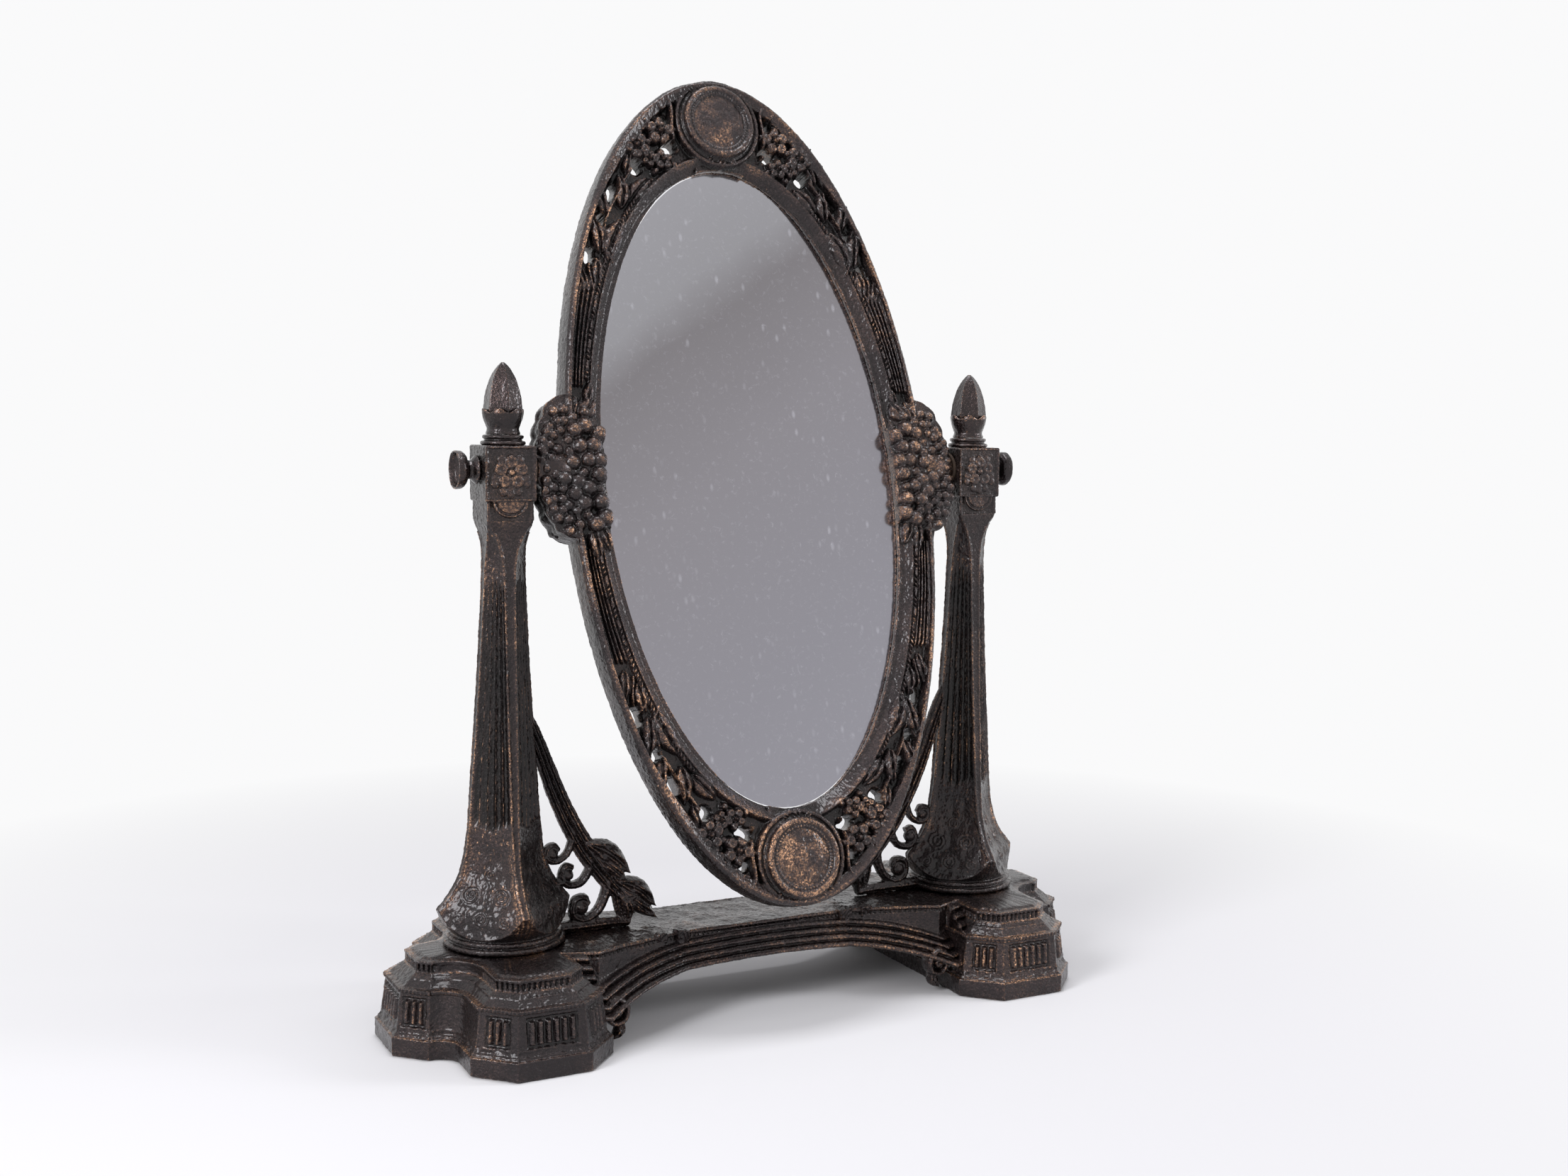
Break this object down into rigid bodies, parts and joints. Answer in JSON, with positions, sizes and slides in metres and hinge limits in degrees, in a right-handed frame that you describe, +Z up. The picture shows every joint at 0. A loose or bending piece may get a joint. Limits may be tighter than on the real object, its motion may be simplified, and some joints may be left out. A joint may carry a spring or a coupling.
{
  "type": "tabletop swing mirror",
  "caption": "Oval tilting mirror in a pierced cast-iron frame, hung on thumb screws between fluted posts that stand on a bridged base with lobed feet.",
  "frame": {"origin": "on the table, midway between the post axes and between the front and back of the feet", "axes": "+X from the left post to the right one, +Y away from the viewer, +Z up. The mirror's front faces -Y."},
  "size_m": [0.365, 0.141, 0.4522],
  "materials": {
    "cast_bronze": "antiqued bronze patina, slightly glossy, rubbed to copper on the high points",
    "silvered_glass": "silvered float glass",
    "card": "grey-brown millboard",
    "plate": "thin steel sheet, dark brown lacquer",
    "clip_brass": "dull brass",
    "screw_brass": "dull brass",
    "bolt_steel": "darkened steel",
    "washer_leather": "dark hide"
  },
  "bodies": {
    "stand": {"base_casting": "cast_bronze", "left_post": "cast_bronze", "right_post": "cast_bronze", "left_finial_collar": "cast_bronze", "right_finial_collar": "cast_bronze", "left_finial": "cast_bronze", "right_finial": "cast_bronze", "left_post_bolt": "bolt_steel", "right_post_bolt": "bolt_steel", "left_post_washer": "bolt_steel", "right_post_washer": "bolt_steel", "left_friction_washer": "washer_leather", "right_friction_washer": "washer_leather"},
    "mirror": {"mirror_frame": "cast_bronze", "mirror_glass": "silvered_glass", "backing_card": "card", "back_plate": "plate", "retaining_clips": "clip_brass", "clip_screws": "screw_brass"},
    "left_screw": {"left_thumb_screw": "cast_bronze"},
    "right_screw": {"right_thumb_screw": "cast_bronze"}
  },
  "joints": [
    {"name": "mirror_tilt", "type": "hinge", "parent": "stand", "child": "mirror", "pos_m": [0, 0, 0.26], "axis": [1, 0, 0], "continuous": true},
    {"name": "left_screw_turn", "type": "hinge", "parent": "stand", "child": "left_screw", "pos_m": [-0.137, 0, 0.26], "axis": [-1, 0, 0], "continuous": true},
    {"name": "right_screw_turn", "type": "hinge", "parent": "stand", "child": "right_screw", "pos_m": [0.137, 0, 0.26], "axis": [1, 0, 0], "continuous": true}
  ]
}
